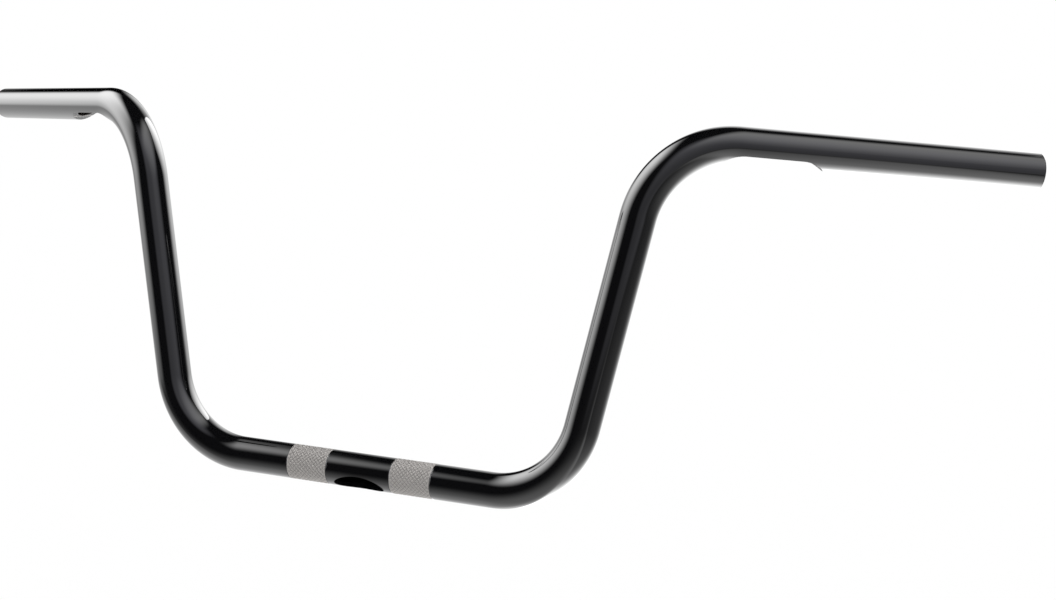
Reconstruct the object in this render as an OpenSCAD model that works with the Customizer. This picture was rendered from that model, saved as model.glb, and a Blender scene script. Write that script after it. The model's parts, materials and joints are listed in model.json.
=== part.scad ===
// Ape hanger handlebar: one steel tube, bent four times on a single bending die.
// X runs across the bar to its right-hand grip in the picture, Y rearwards to the rider, Z up.
// The origin is the centre of the base, on the tube's centre line, midway between the clamp bands.

/* [Tube] */
// Outer diameter of the tube
tube_d = 25.4; // [22.2:0.1:31.8]
// Wall thickness of the tube
wall = 3; // [2:0.1:3.5]
// Radius of every bend, measured to the tube's centre line
bend_r = 65; // [55:1:70]
// How much the wall thins on each of its faces where the tube is bent
draw = 0.02; // [0.02:0.01:0.06]

/* [Bar] */
// Distance between the two lower corners, where the centre lines would meet
base_w = 310; // [260:1:340]
// Distance between the two upper corners
top_w = 412; // [380:1:460]
// Height of the upper corners above the base
rise = 252.5; // [220:0.5:420]
// How far the upper corners lie behind the base
riser_back = 23.5; // [0:0.5:60]
// Length of each grip leg, from its corner to the open end
grip_l = 267.5; // [240:0.5:300]
// Angle by which the grips sweep back
sweep = 30; // [10:1:40]
// Angle by which the grips droop
droop = 4; // [0:0.5:12]

/* [Clamp bands] */
// Distance between the middles of the two knurled bands
band_spacing = 83.5; // [80:0.5:90]
// Width of each knurled band
band_w = 31.5; // [25:0.5:34]
// Width of the groove in which the knurling runs out
runout_w = 0.8; // [0.7:0.1:1.2]
// Depth of that groove
runout_depth = 0.2; // [0.1:0.05:0.4]

/* [Wiring openings] */
// Length of the oval hole in the base
hole_l = 40; // [24:1:44]
// Width of the oval hole
hole_w = 16; // [8:0.5:16]
// How far the oval hole turns from straight down towards the front
hole_turn = 45; // [0:1:90]
// Length of the flat part of the notch under each grip
notch_l = 39; // [20:1:50]
// Distance from the upper corner to the middle of the notch
notch_at = 78.5; // [75:0.5:110]
// Depth of the notch, below the tube's underside
notch_depth = 6.3; // [4:0.1:7]
// Radius of the cutter, which leaves its curve at both ends of the notch
cutter_r = 25; // [12:1:30]

/* [Ends] */
// Bevel round the outside of each open end
end_bevel = 0.8; // [0.3:0.1:1.2]
// Bevel round the mouth of the bore
bore_bevel = 0.5; // [0.3:0.1:1]

/* [Hidden] */
tube_r = tube_d / 2;
bore_r = tube_r - wall;
black = [0.03, 0.03, 0.035];

// How far a cutter reaches past the surface that it cuts
clear = 1;

// Facets on a full turn
$fn = 96;

function unit(v) = v / norm(v);
function off_line(v, line) = v - (v * line) * line;

// Corners of the centre line and the directions of its three straight legs
low_corner = [base_w / 2, 0, 0];
high_corner = [top_w / 2, riser_back, rise];
base_dir = [1, 0, 0];
riser_dir = unit(high_corner - low_corner);
grip_dir = [cos(droop) * cos(sweep), cos(droop) * sin(sweep), -sin(droop)];

// Bend angles, and how much of a leg each bend takes up
low_bend = acos(base_dir * riser_dir);
high_bend = acos(riser_dir * grip_dir);
low_setback = bend_r * tan(low_bend / 2);
high_setback = bend_r * tan(high_bend / 2);

// Straight runs between the bends
base_run = base_w / 2 - low_setback;
riser_run = norm(high_corner - low_corner) - low_setback - high_setback;
grip_run = grip_l - high_setback;

// How far the risers lean back, and how far the tube is turned between its two bends
lean_back = atan2(riser_back, rise);
base_in = unit(off_line(riser_dir, base_dir));
riser_in = cos(low_bend) * base_in - sin(low_bend) * base_dir;
riser_side = cross(base_dir, base_in);
grip_in = unit(off_line(grip_dir, riser_dir));
riser_turn = atan2(grip_in * riser_side, grip_in * riser_in);

// Angle by which each end of a bend is seated in the wall of the straight run beside it
seat = 0.8;

// Depth and length over which a straight run is eased down to the section of the bend beside it
ease = 0.1;
ease_l = 0.5;

// Each leg is drawn in a frame of its own: Z along the tube and X towards the middle of the next bend.
module to_low_bend() {
    rotate([-lean_back, 0, 0])
        translate([base_run, 0, 0])
            rotate([0, 90, 0])
                rotate([0, 0, 180])
                    children();
}

// Moves on to the end of a bend
module past_bend(angle) {
    translate([bend_r, 0, 0])
        rotate([0, angle, 0])
            translate([-bend_r, 0, 0])
                children();
}

module to_riser() {
    to_low_bend()
        past_bend(low_bend)
            children();
}

module to_high_bend() {
    to_riser()
        translate([0, 0, riser_run])
            rotate([0, 0, riser_turn])
                children();
}

module to_grip() {
    to_high_bend()
        past_bend(high_bend)
            children();
}

module base() {
    rotate([0, 90, 0])
        rotate_extrude()
            eased_wall(base_run);
}

module riser() {
    translate([0, 0, riser_run / 2])
        rotate_extrude()
            eased_wall(riser_run / 2);
}

// The wall of a straight run that reaches half_run to both sides and is eased at both ends
module eased_wall(half_run) {
    polygon([
        [bore_r, ease_l - half_run],
        [bore_r + ease, -half_run],
        [tube_r - ease, -half_run],
        [tube_r, ease_l - half_run],
        [tube_r, half_run - ease_l],
        [tube_r - ease, half_run],
        [bore_r + ease, half_run],
        [bore_r, half_run - ease_l]
    ]);
}

module bend(angle) {
    translate([bend_r, 0, 0])
        rotate([90, 0, 0])
            mirror([1, 0, 0])
                rotate_extrude(angle = angle + 2 * seat, start = -seat)
                    translate([bend_r, 0])
                        difference() {
                            circle(tube_r - draw);
                            circle(bore_r + draw);
                        }
}

// The grip's straight run, with both edges of its open end bevelled
module grip() {
    rotate_extrude()
        polygon([
            [bore_r, ease_l],
            [bore_r + ease, 0],
            [tube_r - ease, 0],
            [tube_r, ease_l],
            [tube_r, grip_run - end_bevel],
            [tube_r - end_bevel, grip_run],
            [bore_r + bore_bevel, grip_run],
            [bore_r, grip_run - bore_bevel]
        ]);
}

module right_side() {
    to_low_bend()
        bend(low_bend);
    to_riser()
        riser();
    to_high_bend()
        bend(high_bend);
    to_grip()
        grip();
}

// A fine groove round the base at each edge of a knurled band
module runout_grooves() {
    for (side = [-1, 1], edge = [-1, 1])
        translate([side * band_spacing / 2 + edge * (band_w + runout_w) / 2, 0, 0])
            rotate([0, 90, 0])
                rotate_extrude()
                    polygon([
                        [tube_r + clear, -runout_w / 2 - clear * runout_w / runout_depth / 2],
                        [tube_r - runout_depth, 0],
                        [tube_r + clear, runout_w / 2 + clear * runout_w / runout_depth / 2]
                    ]);
}

// An oval hole through the lower front wall, with its long side along the base
module wiring_hole() {
    rotate([180 - hole_turn, 0, 0])
        linear_extrude(tube_r + clear)
            scale([hole_l / hole_w, 1])
                circle(hole_w / 2);
}

// A flat-bottomed notch milled across the underside of a grip, which lies on the inside of its bend
module wiring_notch() {
    to_grip()
        translate([tube_r - notch_depth + cutter_r, 0, notch_at - high_setback])
            rotate([90, 0, 0])
                linear_extrude(2 * (tube_r + clear), center = true) {
                    for (end = [-1, 1])
                        translate([0, end * notch_l / 2])
                            circle(cutter_r);
                    square([2 * cutter_r, notch_l], center = true);
                }
}

module handlebar() {
    color(black)
        difference() {
            union() {
                base();
                for (side = [0, 1])
                    mirror([side, 0, 0])
                        right_side();
            }
            runout_grooves();
            wiring_hole();
            for (side = [0, 1])
                mirror([side, 0, 0])
                    wiring_notch();
        }
}

handlebar();
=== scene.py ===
"""Ape hanger handlebar: bends, knurls, cuts and coats the tube, and sets it in a white studio."""

import json
from math import cos, degrees, pi, radians, sin, tan
from typing import NamedTuple

import bpy
from bpy.props import FloatProperty, FloatVectorProperty, IntProperty, PointerProperty
from mathutils import Matrix, Vector


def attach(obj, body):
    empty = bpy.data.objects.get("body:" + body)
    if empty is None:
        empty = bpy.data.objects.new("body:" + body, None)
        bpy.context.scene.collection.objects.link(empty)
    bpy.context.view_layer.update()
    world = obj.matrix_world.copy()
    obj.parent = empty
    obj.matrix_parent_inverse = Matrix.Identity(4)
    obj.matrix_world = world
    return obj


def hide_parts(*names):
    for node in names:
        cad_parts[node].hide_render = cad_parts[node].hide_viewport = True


bl_info = {
    "name": "Ape hanger handlebar",
    "version": (1, 0, 0),
    "blender": (4, 5, 0),
    "location": "3D View > Sidebar > Handlebar",
    "description": "Bends, knurls, cuts and coats a high-rise handlebar, and sets it in a white studio",
    "category": "Object",
}

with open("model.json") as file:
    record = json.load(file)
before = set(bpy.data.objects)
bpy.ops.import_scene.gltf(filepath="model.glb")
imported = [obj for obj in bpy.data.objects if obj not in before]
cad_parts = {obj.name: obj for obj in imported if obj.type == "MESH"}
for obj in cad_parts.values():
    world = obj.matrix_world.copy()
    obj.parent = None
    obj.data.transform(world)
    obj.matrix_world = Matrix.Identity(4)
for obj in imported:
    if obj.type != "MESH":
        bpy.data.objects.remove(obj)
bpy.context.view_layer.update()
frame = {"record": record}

MM = 0.001
PIECE, NODE, BODY = "bent_tube", "handlebar", "root"
MOUNTS = {mount["name"]: mount for mount in frame["record"]["mounts"]}
SLOTS = {slot["slot"]: slot for slot in frame["record"]["materials"]}
ACROSS = Vector((1, 0, 0))
CENTRE = Vector((0, 0, 0))
WHITE = (1, 1, 1)

# The finishes, by name
COATED, DRILLED = "gloss black coating", "gloss black in the hole"
MILLED, BARE = "satin black in the notches", "bare dull steel"

# Length of the short ring beside a bend or an open end, which keeps its shading out of the straight run
HOLD = 4 * MM
# Facets round each edge of the open end, and round the oval hole's edges
LIP_STEPS, EDGE_STEPS = 4, 2
# Facets that a diamond spans, both along the bar and round it
DIAMOND_STEPS = 4
# Corners of the cutters' outlines, and how far the cutters reach past the tube
HOLE_POINTS, NOTCH_POINTS = 96, 240
PAST = 2 * MM
# Gaps that are closed: where the halves meet, then all over the tube, and again once the oval hole is cut
HALVES_WELD, TUBE_WELD, CUT_WELD = 0.01 * MM, 0.005 * MM, 0.02 * MM
# How far off the bore's radius a face of its wall may lie
BORE_SLACK = 0.05 * MM
# Faces that meet at less than this angle are shaded as one
SMOOTH = radians(10)


def length(name, words, default):
    """A size that a user may change, in metres."""
    return FloatProperty(
        name=name, description=words, default=default, min=0, subtype="DISTANCE", unit="LENGTH"
    )


def angle(name, words, default):
    """An angle that a user may change, from degrees."""
    return FloatProperty(
        name=name, description=words, default=radians(default), subtype="ANGLE", unit="ROTATION"
    )


def count(name, words, default, least):
    """A whole number that a user may change."""
    return IntProperty(name=name, description=words, default=default, min=least)


def colour(name, words, default):
    """A colour that a user may change."""
    return FloatVectorProperty(
        name=name, description=words, default=default, min=0, max=1, size=3, subtype="COLOR"
    )


class TubeSizes(bpy.types.PropertyGroup):
    """The bent tube, as its drawing gives it"""

    radius: length("Tube radius", "Outside of the tube", MOUNTS["right_grip"]["dims"]["r_mm"] * MM)
    bore: length("Bore radius", "Inside of the tube", MOUNTS["right_bar_end"]["dims"]["r_mm"] * MM)
    bend: length("Bend radius", "Radius of every bend, on the centre line", 65 * MM)
    base_width: length("Base width", "Distance between the lower corners", 310 * MM)
    top_width: length("Top width", "Distance between the upper corners", 412 * MM)
    rise: length("Rise", "Height of the upper corners above the base", 252.5 * MM)
    riser_back: length("Riser back", "How far the upper corners lie behind the base", 23.5 * MM)
    grip: length("Grip length", "From the upper corner to the open end", 267.5 * MM)
    lip: length("Lip", "Rounding of the open end", 0.8 * MM)
    sides: count("Sides", "Facets round the tube", 96, 24)
    bend_steps: count("Bend steps", "Facets along each bend", 44, 8)


class KnurlSizes(bpy.types.PropertyGroup):
    """The two knurled bands under the riser clamps"""

    spacing: length("Spacing", "Between the middles of the bands", 2 * MOUNTS["right_clamp_band"]["pos_m"][0])
    width: length("Width", "Width of a band", MOUNTS["right_clamp_band"]["dims"]["length_mm"] * MM)
    runout: length("Run-out width", "Groove beside a band", 0.8 * MM)
    runout_depth: length("Run-out depth", "Depth of that groove", 0.2 * MM)
    depth: length("Diamond depth", "Height of the diamonds", 0.35 * MM)
    border: length("Border", "Plain ring at each edge of a band", 0.5 * MM)
    diamonds: count("Diamonds", "Diamonds along a band", 10, 4)


class OpeningSizes(bpy.types.PropertyGroup):
    """The wiring hole in the base and the notches under the grips"""

    hole_length: length("Hole length", "Length of the oval hole in the base", 40 * MM)
    hole_width: length("Hole width", "Width of the oval hole", 16 * MM)
    hole_turn: angle("Hole turn", "From straight down towards the front", 45)
    notch_flat: length("Notch flat", "Flat part of each notch", 39 * MM)
    notch_at: length("Notch place", "From the upper corner to the middle of the notch", 78.5 * MM)
    notch_depth: length("Notch depth", "Below the tube's underside", 6.3 * MM)
    cutter: length("Cutter radius", "Curve at both ends of a notch", 25 * MM)
    edge: length("Edge", "Rounding of the oval hole's edges", 0.25 * MM)
    mesh: length("Mesh", "Spacing of the rings where the openings are cut", 2.5 * MM)


class FinishColours(bpy.types.PropertyGroup):
    """The coatings, the bare steel and the studio"""

    coating: colour("Coating", "Gloss black coating", (0.004, 0.004, 0.0045))
    milled: colour("Cut faces", "Thin coating on the faces of the notches", (0.1, 0.1, 0.1))
    steel: colour("Steel", "Bare steel of the knurled bands", SLOTS["bare_steel"]["base_color"][:3])
    # The groove colour is painted shade: the steel is darkened where the grooves between the diamonds lie in
    # shadow
    groove: colour("Groove", "Steel down between the diamonds", (0.26, 0.25, 0.24))
    backdrop: colour("Backdrop", "Floor", WHITE)


class StageSizes(bpy.types.PropertyGroup):
    """Camera and floor"""

    azimuth: angle("Azimuth", "Camera, round the bar from its front", 22.85)
    elevation: angle("Elevation", "Camera, above the bar", 10.06)
    roll: angle("Roll", "Camera, about its own axis", 1.67)
    aim_x: length("Aim across", "Point that the camera looks at", 124.26 * MM)
    aim_z: length("Aim up", "Point that the camera looks at", 137.87 * MM)
    distance: length("Distance", "From that point to the camera", 1271.8 * MM)
    lens: FloatProperty(name="Lens", description="Focal length, in millimetres", default=63.27, min=1)
    sensor: FloatProperty(name="Sensor", description="Width of the film, in millimetres", default=36, min=1)
    floor: length("Floor", "How far the floor lies below the base", 600 * MM)
    floor_width: length("Floor width", "Side of the square floor", 12)


class Bar:
    """The tube's corners, directions and straight runs, worked out from its sizes."""

    def __init__(self, tube):
        self.grip_way = Vector(MOUNTS["right_grip"]["axis"]).normalized()
        self.low = Vector((tube.base_width / 2, 0, 0))
        self.high = Vector((tube.top_width / 2, tube.riser_back, tube.rise))
        riser = self.high - self.low
        self.riser_way = riser.normalized()
        self.low_bend = ACROSS.angle(self.riser_way)
        self.high_bend = self.riser_way.angle(self.grip_way)
        low_set = tube.bend * tan(self.low_bend / 2)
        self.high_set = tube.bend * tan(self.high_bend / 2)
        self.base_run = self.low.x - low_set
        self.riser_run = riser.length - low_set - self.high_set
        self.grip_run = tube.grip - self.high_set
        self.end = self.high + self.grip_way * tube.grip
        self.low_axis, self.low_centre = self.bend_about(self.low, ACROSS, self.riser_way, low_set, tube.bend)
        self.high_axis, self.high_centre = self.bend_about(
            self.high, self.riser_way, self.grip_way, self.high_set, tube.bend
        )

    def bend_about(self, corner, way_in, way_out, setback, radius):
        """The axis that a bend turns about, and its centre."""
        axis = way_in.cross(way_out).normalized()
        return axis, corner - way_in * setback + axis.cross(way_in) * radius


def deselect_all():
    """Nothing stays selected outside edit mode."""
    for thing in bpy.context.selected_objects:
        thing.select_set(False)


def work_on(piece):
    """Makes one object the active and only selected one."""
    deselect_all()
    piece.select_set(True)
    bpy.context.view_layer.objects.active = piece


def edit(piece):
    """Opens one object, alone, in edit mode."""
    work_on(piece)
    bpy.ops.object.mode_set(mode="EDIT")


def close_edit():
    """Leaves edit mode."""
    bpy.ops.object.mode_set(mode="OBJECT")


def select_parts(piece, mode, chosen):
    """In edit mode, selects the vertices or faces for which chosen(part) is true."""
    bpy.ops.mesh.select_mode(type=mode)
    bpy.ops.mesh.select_all(action="DESELECT")
    bpy.ops.object.mode_set(mode="OBJECT")
    parts = piece.data.vertices if mode == "VERT" else piece.data.polygons
    for part in parts:
        part.select = bool(chosen(part))
    bpy.ops.object.mode_set(mode="EDIT")


def carry(way, distance, shrink=1.0, about=None):
    """Extrudes the selected ring along a direction, and may shrink the new ring about its middle."""
    bpy.ops.mesh.extrude_region_move(TRANSFORM_OT_translate={"value": way * distance})
    if shrink != 1:
        bpy.ops.transform.resize(value=(shrink, shrink, shrink), center_override=about)


def turn(centre, axis, by, steps):
    """Spins the selected ring through a bend. The operator turns against the right-hand rule."""
    bpy.ops.mesh.spin(steps=steps, angle=-by, center=centre, axis=axis)


def ring_middle():
    """The middle of the selected ring of the mesh in edit mode."""
    piece = bpy.context.edit_object
    piece.update_from_editmode()
    ring = [vertex.co for vertex in piece.data.vertices if vertex.select]
    return sum(ring, Vector()) / len(ring)


def in_steps(run, spacing):
    """A run as even steps of about the given spacing."""
    steps = max(round(run / spacing), 1)
    return [run / steps] * steps


def mid_wall(tube):
    """The radius halfway through the wall, which tells the outside's faces from the bore's."""
    return (tube.radius + tube.bore) / 2


def diamond_rings(knurl):
    """How many steps a band takes along the bar, and the length of each."""
    steps = DIAMOND_STEPS * knurl.diamonds
    return steps, knurl.width / steps


def knurled_runs(tube, knurl, sizes):
    """Half the base up to the band's outer groove: steps along it and the radius that each ends with."""
    plain = knurl.spacing / 2 - knurl.width / 2 - knurl.runout
    steps, ring = diamond_rings(knurl)
    groove = [(knurl.runout / 2, tube.radius - knurl.runout_depth), (knurl.runout / 2, tube.radius)]
    runs = [(step, tube.radius) for step in in_steps(plain, sizes.mesh)]
    runs += groove
    runs += [(ring, tube.radius)] * steps
    runs += groove
    return runs


def notch_reach(sizes, bar):
    """How far along the grip's straight run the notch can reach."""
    return sizes.notch_at + sizes.notch_flat / 2 + sizes.cutter - bar.high_set


def sweep_outside(tube, knurl, sizes, bar):
    """Carries the ring from the middle of the base to the open end, along the tube's outside."""
    at, radius = 0, tube.radius
    for step, wanted in knurled_runs(tube, knurl, sizes):
        at += step
        carry(ACROSS, step, wanted / radius, (at, 0, 0))
        radius = wanted
    for step in (bar.base_run - at - HOLD, HOLD):
        carry(ACROSS, step)
    turn(bar.low_centre, bar.low_axis, bar.low_bend, tube.bend_steps)
    for step in (HOLD, bar.riser_run - 2 * HOLD, HOLD):
        carry(bar.riser_way, step)
    turn(bar.high_centre, bar.high_axis, bar.high_bend, tube.bend_steps)
    notched = notch_reach(sizes, bar)
    for step in (*in_steps(notched, sizes.mesh), bar.grip_run - notched - HOLD - tube.lip, HOLD):
        carry(bar.grip_way, step)


def sweep_lip(tube, bar):
    """Rounds the open end over: past its outer edge, across the wall and past its inner edge."""
    swings = [pi / 2 * step / LIP_STEPS for step in range(LIP_STEPS + 1)]
    steps = []
    for before, swing in zip(swings, swings[1:]):
        steps.append((tube.lip * (sin(swing) - sin(before)), tube.radius - tube.lip * (1 - cos(swing))))
    steps.append((0, mid_wall(tube)))
    steps.append((0, tube.bore + tube.lip))
    for before, swing in zip(swings, swings[1:]):
        steps.append((tube.lip * (cos(swing) - cos(before)), tube.bore + tube.lip * (1 - sin(swing))))
    radius = tube.radius
    for forward, wanted in steps:
        carry(bar.grip_way, forward, wanted / radius, ring_middle() + bar.grip_way * forward)
        radius = wanted


def sweep_inside(tube, sizes, bar):
    """Carries the ring back from the open end to the middle of the base, along the bore."""
    notched = notch_reach(sizes, bar)
    for step in (bar.grip_run - notched - tube.lip, *in_steps(notched, sizes.mesh)):
        carry(-bar.grip_way, step)
    turn(bar.high_centre, -bar.high_axis, bar.high_bend, tube.bend_steps)
    carry(-bar.riser_way, bar.riser_run)
    turn(bar.low_centre, -bar.low_axis, bar.low_bend, tube.bend_steps)
    carry(-ACROSS, bar.base_run - sizes.hole_length)
    for step in in_steps(sizes.hole_length, sizes.mesh):
        carry(-ACROSS, step)


def raise_diamonds(piece, tube, knurl):
    """Pokes the band's faces, then sinks the vertices on both families of diagonal lines."""
    first = knurl.spacing / 2 - knurl.width / 2
    last = first + knurl.width
    _, ring = diamond_rings(knurl)
    outside = mid_wall(tube)

    def on_band(face):
        return first < face.center.x < last and face.center.yz.length > outside

    def on_groove(vertex):
        """On a line of either family. A poked face has a vertex in its middle, so half steps count too."""
        x, y, z = vertex.co
        if not first + knurl.border < x < last - knurl.border or vertex.co.yz.length < outside:
            return False
        along = round(2 * (x - first) / ring) / 2
        around = round(2 * Vector((y, z)).angle_signed(Vector((1, 0))) / (2 * pi) * tube.sides) / 2
        return (along + around) % DIAMOND_STEPS == 0 or (along - around) % DIAMOND_STEPS == 0

    select_parts(piece, "FACE", on_band)
    bpy.ops.mesh.poke()
    select_parts(piece, "VERT", on_groove)
    sunk = 1 - knurl.depth / tube.radius
    bpy.ops.transform.resize(value=(1, sunk, sunk), center_override=CENTRE)


def mirror_half(piece):
    """Adds the left half and welds the middle."""
    close_edit()
    bpy.ops.object.modifier_add(type="MIRROR")
    piece.modifiers[-1].merge_threshold = HALVES_WELD
    bpy.ops.object.modifier_apply(modifier=piece.modifiers[-1].name)
    edit(piece)
    bpy.ops.mesh.select_all(action="SELECT")
    bpy.ops.mesh.remove_doubles(threshold=TUBE_WELD)
    bpy.ops.mesh.normals_make_consistent(inside=False)
    close_edit()


def material_named(name):
    """The material of that name, new if need be."""
    return bpy.data.materials.get(name) or bpy.data.materials.new(name)


class HANDLEBAR_OT_tube(bpy.types.Operator):
    """Sweep half the tube out along its two bends and back through the bore, and mirror it"""

    bl_idname = "handlebar.tube"
    bl_label = "Bend the tube"

    def execute(self, context):
        tube, knurl, sizes = context.scene.bar_tube, context.scene.bar_knurl, context.scene.bar_openings
        bar = Bar(tube)
        deselect_all()
        bpy.ops.mesh.primitive_circle_add(vertices=tube.sides, radius=tube.radius, rotation=(0, pi / 2, 0))
        piece = context.object
        piece.name = PIECE
        bpy.ops.object.transform_apply(location=False, rotation=True, scale=False)
        edit(piece)
        bpy.ops.mesh.select_all(action="SELECT")
        sweep_outside(tube, knurl, sizes, bar)
        sweep_lip(tube, bar)
        sweep_inside(tube, sizes, bar)
        raise_diamonds(piece, tube, knurl)
        mirror_half(piece)
        piece.data.materials.append(material_named(COATED))
        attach(piece, BODY)
        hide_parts(NODE)
        return {"FINISHED"}


def new_cutter(name, radius, points, finish):
    """A flat round face in edit mode, with no vertex on its X axis, to be shaped and made deep."""
    deselect_all()
    bpy.ops.mesh.primitive_circle_add(
        vertices=points, radius=radius, fill_type="NGON", rotation=(0, 0, pi / points)
    )
    cutter = bpy.context.object
    cutter.name = name
    bpy.ops.object.transform_apply(location=False, rotation=True, scale=False)
    cutter.data.materials.append(material_named(finish))
    edit(cutter)
    bpy.ops.mesh.select_all(action="SELECT")
    return cutter


def set_cutter(cutter, depth, place):
    """Makes the outline a prism and puts it where its matrix says."""
    bpy.ops.mesh.select_all(action="SELECT")
    bpy.ops.mesh.extrude_region_move(TRANSFORM_OT_translate={"value": (0, 0, depth)})
    bpy.ops.mesh.select_all(action="SELECT")
    bpy.ops.mesh.normals_make_consistent(inside=False)
    close_edit()
    cutter.matrix_world = place
    bpy.ops.object.transform_apply(location=True, rotation=True, scale=True)


def hole_cutter(tube, sizes):
    """The oval hole's cutter: from the bar's axis out through the lower front wall."""
    cutter = new_cutter("hole", 1, HOLE_POINTS, DRILLED)
    bpy.ops.transform.resize(value=(sizes.hole_length / 2, sizes.hole_width / 2, 1), center_override=CENTRE)
    set_cutter(cutter, tube.radius + PAST, Matrix.Rotation(pi - sizes.hole_turn, 4, "X"))
    return cutter


def notch_cutter(tube, sizes, bar):
    """Both notches' cutter: a long round-ended prism laid across the inside of each upper bend."""
    cutter = new_cutter("notch", sizes.cutter, NOTCH_POINTS, MILLED)
    for side in (-1, 1):
        select_parts(cutter, "VERT", lambda vertex, side=side: vertex.co.y * side > 0)
        bpy.ops.transform.translate(value=(0, side * sizes.notch_flat / 2, 0))
    inward = bar.high_axis.cross(bar.grip_way)
    sideways = inward.cross(bar.grip_way)
    reach = tube.radius + PAST
    off_axis = tube.radius - sizes.notch_depth + sizes.cutter
    middle = bar.high + bar.grip_way * sizes.notch_at + inward * off_axis
    turned = Matrix((inward, bar.grip_way, sideways)).transposed().to_4x4()
    set_cutter(cutter, 2 * reach, Matrix.Translation(middle - sideways * reach) @ turned)
    bpy.ops.object.modifier_add(type="MIRROR")
    bpy.ops.object.modifier_apply(modifier=cutter.modifiers[-1].name)
    return cutter


def cut(piece, cutter):
    """Cuts one solid out of another, gives the cut faces the cutter's finish and drops the cutter."""
    work_on(piece)
    bpy.ops.object.modifier_add(type="BOOLEAN")
    boolean = piece.modifiers[-1]
    boolean.operation = "DIFFERENCE"
    boolean.solver = "EXACT"
    boolean.material_mode = "TRANSFER"
    boolean.object = cutter
    bpy.ops.object.modifier_apply(modifier=boolean.name)
    bpy.data.objects.remove(cutter)


def soften_cut_edges(piece, width):
    """Rounds every edge between a face cut so far and the tube's own faces."""
    edit(piece)
    bpy.ops.mesh.select_all(action="SELECT")
    bpy.ops.mesh.remove_doubles(threshold=CUT_WELD)
    bpy.ops.mesh.select_mode(type="EDGE")
    bpy.ops.mesh.select_all(action="DESELECT")
    close_edit()
    finishes = {}
    for face in piece.data.polygons:
        for key in face.edge_keys:
            finishes.setdefault(key, set()).add(face.material_index)
    for line in piece.data.edges:
        line.select = len(finishes[line.key]) > 1
    bpy.ops.object.mode_set(mode="EDIT")
    bpy.ops.mesh.bevel(offset=width, segments=EDGE_STEPS, clamp_overlap=True, material=0)
    close_edit()


class HANDLEBAR_OT_openings(bpy.types.Operator):
    """Cut the oval wiring hole and the two grip notches"""

    bl_idname = "handlebar.openings"
    bl_label = "Cut the wiring openings"

    def execute(self, context):
        tube, sizes = context.scene.bar_tube, context.scene.bar_openings
        piece = bpy.data.objects[PIECE]
        cut(piece, hole_cutter(tube, sizes))
        soften_cut_edges(piece, sizes.edge)
        cut(piece, notch_cutter(tube, sizes, Bar(tube)))
        return {"FINISHED"}


class Value:
    """What a node puts out, such as a number that varies. Python's operators on it add Math nodes."""

    def __init__(self, finish, socket):
        self.finish, self.socket = finish, socket

    def __add__(self, other):
        return self.finish.math("ADD", self, other)

    def __radd__(self, other):
        return self.finish.math("ADD", other, self)

    def __sub__(self, other):
        return self.finish.math("SUBTRACT", self, other)

    def __rsub__(self, other):
        return self.finish.math("SUBTRACT", other, self)

    def __mul__(self, other):
        return self.finish.math("MULTIPLY", self, other)

    def __rmul__(self, other):
        return self.finish.math("MULTIPLY", other, self)

    def __truediv__(self, other):
        return self.finish.math("DIVIDE", self, other)

    def __rtruediv__(self, other):
        return self.finish.math("DIVIDE", other, self)

    def ramp(self, dark, bright):
        """0 at and before dark, 1 at and past bright, with a smooth step between them."""
        return self.finish.node(
            "ShaderNodeMapRange",
            {"interpolation_type": "SMOOTHSTEP"},
            {"Value": self, "From Min": dark, "From Max": bright},
        )

    def between(self, low, high):
        """A share from 0 to 1 as a number from low to high."""
        return self * (high - low) + low


class Finish:
    """A procedural material, or the world, and the nodes in it."""

    def __init__(self, owner):
        self.owner = owner
        owner.use_nodes = True
        self.tree = owner.node_tree
        self.tree.nodes.clear()

    def node(self, kind, settings=None, sockets=None, out=0):
        """Adds one node, sets its settings and then its sockets, and gives one of its outputs."""
        made = self.tree.nodes.new(kind)
        for name, value in (settings or {}).items():
            setattr(made, name, value)
        for key, value in (sockets or {}).items():
            self.feed(made.inputs[key], value)
        return Value(self, made.outputs[out]) if made.outputs else None

    def feed(self, socket, value):
        """Links a value to a socket, or sets it there."""
        if isinstance(value, Value):
            self.tree.links.new(value.socket, socket)
        else:
            socket.default_value = value

    def math(self, operation, *numbers):
        """Adds a Math node on one or two numbers."""
        return self.node("ShaderNodeMath", {"operation": operation}, dict(enumerate(numbers)))

    def parts(self, vector, axes):
        """The named coordinates of a vector."""
        return [self.node("ShaderNodeSeparateXYZ", None, {"Vector": vector}, out=axis) for axis in axes]

    def noise(self, place, scale, detail):
        """Soft grain, from 0 to 1."""
        return self.node("ShaderNodeTexNoise", None, {"Vector": place, "Scale": scale, "Detail": detail})

    def bump(self, height, strength):
        """A normal that follows a fine relief."""
        relief = {"Height": height, "Strength": strength, "Distance": 0.05 * MM}
        return self.node("ShaderNodeBump", None, relief)

    def mixed(self, share, plain, other):
        """Goes from one colour to another as a share goes from 0 to 1. The Mix node's names are shared by
        sockets of every kind, so its colour sockets are given by their numbers."""
        colours = {0: share, 6: (*plain, 1), 7: (*other, 1)}
        return self.node("ShaderNodeMix", {"data_type": "RGBA"}, colours, out=2)

    def surface(self, sockets):
        """Ends a material in a Principled shader with the given sockets."""
        shader = self.node("ShaderNodeBsdfPrincipled", None, sockets)
        self.node("ShaderNodeOutputMaterial", None, {"Surface": shader})


def gloss_black(name, colours):
    """Black base coat under clear lacquer, nearly smooth."""
    coat = Finish(material_named(name))
    place = coat.node("ShaderNodeTexCoord", out="Object")
    peel = coat.noise(place, 500, 1)
    haze = coat.noise(place, 45, 2)
    coat.surface(
        {
            "Base Color": (*colours.coating, 1),
            "Roughness": haze.between(0.02, 0.05),
            "Normal": coat.bump(peel, 0.02),
            "Coat Weight": 1,
            "Coat Roughness": 0.01,
        }
    )


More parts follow.
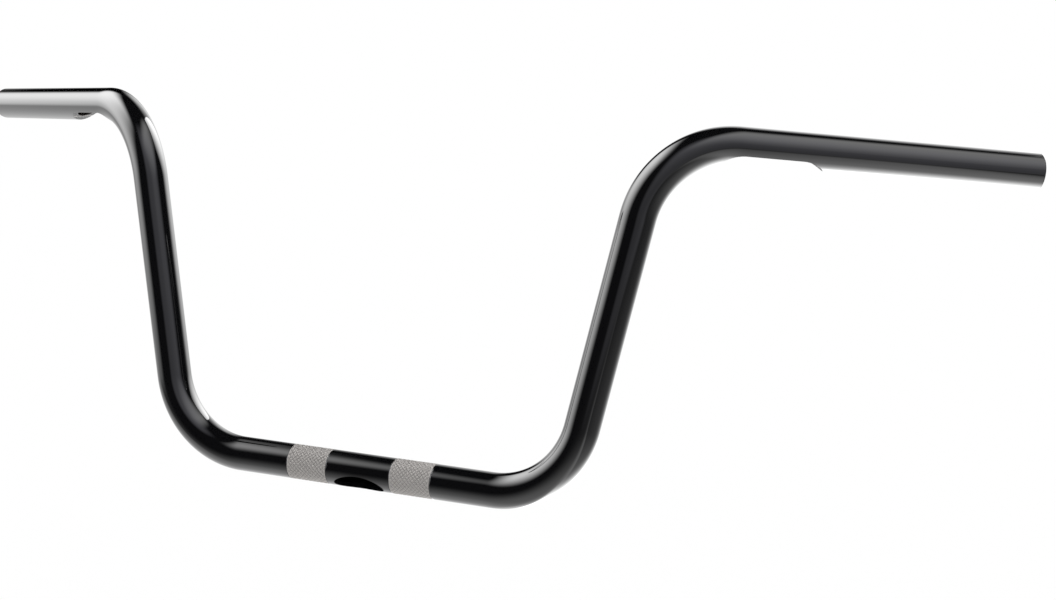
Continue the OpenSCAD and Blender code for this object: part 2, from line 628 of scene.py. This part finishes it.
def satin_black(colours):
    """The thin coating on the milled faces, which lies on tool marks."""
    satin = Finish(material_named(MILLED))
    place = satin.node("ShaderNodeTexCoord", out="Object")
    marks = satin.noise(place, 900, 2)
    satin.surface(
        {
            "Base Color": (*colours.milled, 1),
            "Roughness": marks.between(0.4, 0.6),
            "Normal": satin.bump(marks, 0.3),
        }
    )


def bare_steel(colours, tube, knurl):
    """Dull bare steel of the knurled bands, with painted shade darkening it down in the grooves."""
    steel = Finish(material_named(BARE))
    place = steel.node("ShaderNodeTexCoord", out="Object")
    grain = steel.noise(place, 600, 3)
    y, z = steel.parts(place, "YZ")
    off_axis = steel.math("SQRT", y * y + z * z)
    # Painted shade: 0 down in the grooves, where the colour is darkened to the groove shade, and 1 on the
    # diamonds' crests
    clear_of_painted_shade = off_axis.ramp(tube.radius - knurl.depth, tube.radius - 0.3 * knurl.depth)
    steel.surface(
        {
            "Base Color": steel.mixed(clear_of_painted_shade * grain.between(0.8, 1.1), colours.groove, colours.steel),
            "Metallic": 0.5,
            "Roughness": grain.between(0.45, 0.65),
        }
    )


class HANDLEBAR_OT_finish(bpy.types.Operator):
    """Coat the tube and leave its knurled bands and the bores of its grips bare"""

    bl_idname = "handlebar.finish"
    bl_label = "Coat the handlebar"

    def execute(self, context):
        tube, knurl, colours = context.scene.bar_tube, context.scene.bar_knurl, context.scene.bar_colours
        bar = Bar(tube)
        piece = bpy.data.objects[PIECE]
        gloss_black(COATED, colours)
        gloss_black(DRILLED, colours)
        satin_black(colours)
        bare_steel(colours, tube, knurl)

        def on_band(face):
            along = abs(abs(face.center.x) - knurl.spacing / 2)
            return along < knurl.width / 2 and face.center.yz.length > mid_wall(tube)

        def in_grip(face):
            """In the bore of a grip, deeper than the coating reaches."""
            x, y, z = face.center
            offset = Vector((abs(x), y, z)) - bar.end
            depth = -offset.dot(bar.grip_way)
            off_axis = (offset + bar.grip_way * depth).length
            return tube.lip < depth < bar.grip_run and off_axis < tube.bore + BORE_SLACK

        piece.data.materials.append(material_named(BARE))
        bare = len(piece.data.materials) - 1
        for face in piece.data.polygons:
            if on_band(face) or in_grip(face):
                face.material_index = bare
        work_on(piece)
        bpy.ops.object.shade_smooth_by_angle(angle=SMOOTH)
        return {"FINISHED"}


class Softbox(NamedTuple):
    """A flat soft panel that the coating mirrors, one unit away in a dark studio."""

    # Its bearing, from the dark gap beside the camera towards the right-hand grip, its height and its own
    # turn, in degrees
    at: tuple
    # Half its width and half its height
    half: tuple
    # The share of them over which its left, right, lower and upper edges fade
    fade: tuple
    # Its brightness in the middle, how much of it is lost towards the corners, and how much is gained towards
    # the right and the top
    light: tuple
    # Whether it has the cool tint
    cool: bool = False


# Bearing of the dark gap beside the camera, from straight in front of the bar, in degrees
DARK_GAP = -30
# These numbers, and the floor's glow below, weren't chosen by hand. A fitting program found them from the
# tones that the coating shows in the photograph, and they were then rounded.
SOFTBOXES = {
    "left softbox": Softbox(
        at=(310, 24, 3), half=(0.95, 0.9), fade=(1.3, 0.3, 0.45, 0.6), light=(4.8, 0.7, -0.6, 0.6)
    ),
    "rear softbox": Softbox(
        at=(180, 14, 34), half=(0.6, 0.75), fade=(0.05, 0.75, 1.6, 0.05), light=(3.9, 1.0, -1.1, -0.1)
    ),
    "right softbox": Softbox(
        at=(74, 32, -5), half=(0.95, 1.1), fade=(0.65, 0.5, 0.15, 0.95), light=(0.6, -0.5, -0.3, 0.9),
        cool=True,
    ),
    "top strip": Softbox(
        at=(103, 50, 13), half=(1.0, 0.65), fade=(0.75, 2.0, 0.25, 0.6), light=(1.6, -0.5, 1.2, 1.5)
    ),
    "rear floor": Softbox(
        at=(175, -46, 27), half=(1.15, 0.6), fade=(1.1, 0.95, 0.35, 2.0), light=(2.7, -0.5, -1.5, -1.5)
    ),
    "backdrop": Softbox(
        at=(189, 5, 5), half=(1.4, 1.3), fade=(0.6, 0.95, 1.55, 0.5), light=(1.1, -0.2, -1.5, -1.1)
    ),
    "left floor": Softbox(
        at=(273, -40, -46), half=(1.35, 1.05), fade=(0.45, 0.3, 0.45, 0.4), light=(0.4, -0.5, 0.8, 0.7)
    ),
    "right floor": Softbox(
        at=(94, -69, 24), half=(0.25, 1.6), fade=(0.65, 1.6, 0.3, 0.4), light=(0.6, -0.5, 0, 0.1)
    ),
}

# Light of the cool panels
COOL = (0.97, 0.97, 1.06)
# The pale floor as the coating mirrors it: its light, and the heights where it starts and is full, in degrees
FLOOR_GLOW = 0.8
FLOOR_GLOW_HEIGHTS = (-2, -62)
# A direction sees a panel whole if it leads at least this share of its length towards the panel
TOWARDS = 0.05


def softbox_light(world, way, box):
    """How bright one panel looks along a direction."""
    bearing, height, roll = (radians(degree) for degree in box.at)
    turned = Matrix.Rotation(bearing + radians(DARK_GAP) + pi, 3, "Z")
    turned = turned @ Matrix.Rotation(height, 3, "X") @ Matrix.Rotation(roll, 3, "Y")
    half_width, half_height = box.half
    seen = world.node(
        "ShaderNodeMapping",
        {"vector_type": "TEXTURE"},
        {"Vector": way, "Rotation": turned.to_euler(), "Scale": (half_width, 1, half_height)},
    )
    x, ahead, z = world.parts(seen, "XYZ")
    across, up = x / ahead, z / ahead
    left, right, lower, upper = box.fade
    lit = ahead.ramp(0, TOWARDS) * across.ramp(-1, left - 1) * across.ramp(1, 1 - right)
    lit = lit * up.ramp(-1, lower - 1) * up.ramp(1, 1 - upper)
    middle, lost, to_right, to_top = box.light
    glow = 1 - (across * across + up * up) * (lost / 2) + across * to_right + up * to_top
    return lit * world.math("MAXIMUM", glow, 0) * middle


def white_studio(scene):
    """White all round for the camera and for matt surfaces, and soft panels for what is mirrored."""
    world = Finish(bpy.data.worlds.new("studio"))
    scene.world = world.owner
    world.owner.cycles.sampling_method = "NONE"
    way = world.node("ShaderNodeTexCoord", out="Generated")
    (z,) = world.parts(way, "Z")
    height = world.math("ARCSINE", z) * degrees(1)
    in_gloss = world.node("ShaderNodeLightPath", out="Is Glossy Ray")
    neutral = height.ramp(*FLOOR_GLOW_HEIGHTS) * FLOOR_GLOW
    cool = 0
    for box in SOFTBOXES.values():
        if box.cool:
            cool = softbox_light(world, way, box) + cool
        else:
            neutral = softbox_light(world, way, box) + neutral
    plain = {"Color": (*WHITE, 1), "Strength": (1 - in_gloss) + in_gloss * neutral}
    tinted = {"Color": (*COOL, 1), "Strength": in_gloss * cool}
    sky = world.node("ShaderNodeBackground", None, plain)
    cool_sky = world.node("ShaderNodeBackground", None, tinted)
    both = world.node("ShaderNodeAddShader", None, {0: sky, 1: cool_sky})
    world.node("ShaderNodeOutputWorld", None, {"Surface": both})


def white_paper(colours):
    """Plain white paper."""
    paper = Finish(material_named("white floor"))
    matt = paper.node("ShaderNodeBsdfDiffuse", None, {"Color": (*colours.backdrop, 1)})
    paper.node("ShaderNodeOutputMaterial", None, {"Surface": matt})
    return paper.owner


def add_floor(stage, colours):
    """A plain floor, which matt surfaces see and the gloss doesn't mirror."""
    deselect_all()
    bpy.ops.mesh.primitive_plane_add(size=stage.floor_width, location=(0, 0, -stage.floor))
    floor = bpy.context.object
    floor.name = "floor"
    floor.visible_glossy = False
    floor.data.materials.append(white_paper(colours))


def add_camera(stage):
    """The photograph's view."""
    look = Matrix.Rotation(stage.azimuth, 3, "Z") @ Matrix.Rotation(pi / 2 - stage.elevation, 3, "X")
    look = look @ Matrix.Rotation(stage.roll, 3, "Z")
    place = Vector((stage.aim_x, 0, stage.aim_z)) + look.col[2] * stage.distance
    bpy.ops.object.camera_add(location=place, rotation=look.to_euler())
    camera = bpy.context.object
    camera.data.sensor_width = stage.sensor
    camera.data.lens = stage.lens
    bpy.context.scene.camera = camera


class HANDLEBAR_OT_stage(bpy.types.Operator):
    """Add the floor, the studio's light and the camera"""

    bl_idname = "handlebar.stage"
    bl_label = "Set the stage"

    def execute(self, context):
        scene = context.scene
        add_camera(scene.bar_stage)
        add_floor(scene.bar_stage, scene.bar_colours)
        white_studio(scene)
        scene.view_settings.view_transform = "Standard"
        return {"FINISHED"}


class HANDLEBAR_PT_panel(bpy.types.Panel):
    """Lists the steps in the order in which they run"""

    bl_label = "Handlebar"
    bl_space_type = "VIEW_3D"
    bl_region_type = "UI"
    bl_category = "Handlebar"

    def draw(self, context):
        for step in STEPS:
            self.layout.operator(step.bl_idname)


GROUPS = {
    "bar_tube": TubeSizes,
    "bar_knurl": KnurlSizes,
    "bar_openings": OpeningSizes,
    "bar_colours": FinishColours,
    "bar_stage": StageSizes,
}
STEPS = (HANDLEBAR_OT_tube, HANDLEBAR_OT_openings, HANDLEBAR_OT_finish, HANDLEBAR_OT_stage)


def register():
    """Makes the property groups, the operators and the panel known."""
    for kind in (*GROUPS.values(), *STEPS, HANDLEBAR_PT_panel):
        bpy.utils.register_class(kind)
    for name, group in GROUPS.items():
        setattr(bpy.types.Scene, name, PointerProperty(type=group))


def unregister():
    """Takes them away again."""
    for name in GROUPS:
        delattr(bpy.types.Scene, name)
    for kind in reversed((*GROUPS.values(), *STEPS, HANDLEBAR_PT_panel)):
        bpy.utils.unregister_class(kind)


def main():
    """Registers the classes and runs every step."""
    register()
    bpy.ops.handlebar.tube()
    bpy.ops.handlebar.openings()
    bpy.ops.handlebar.finish()
    bpy.ops.handlebar.stage()


if __name__ == "__main__":
    main()
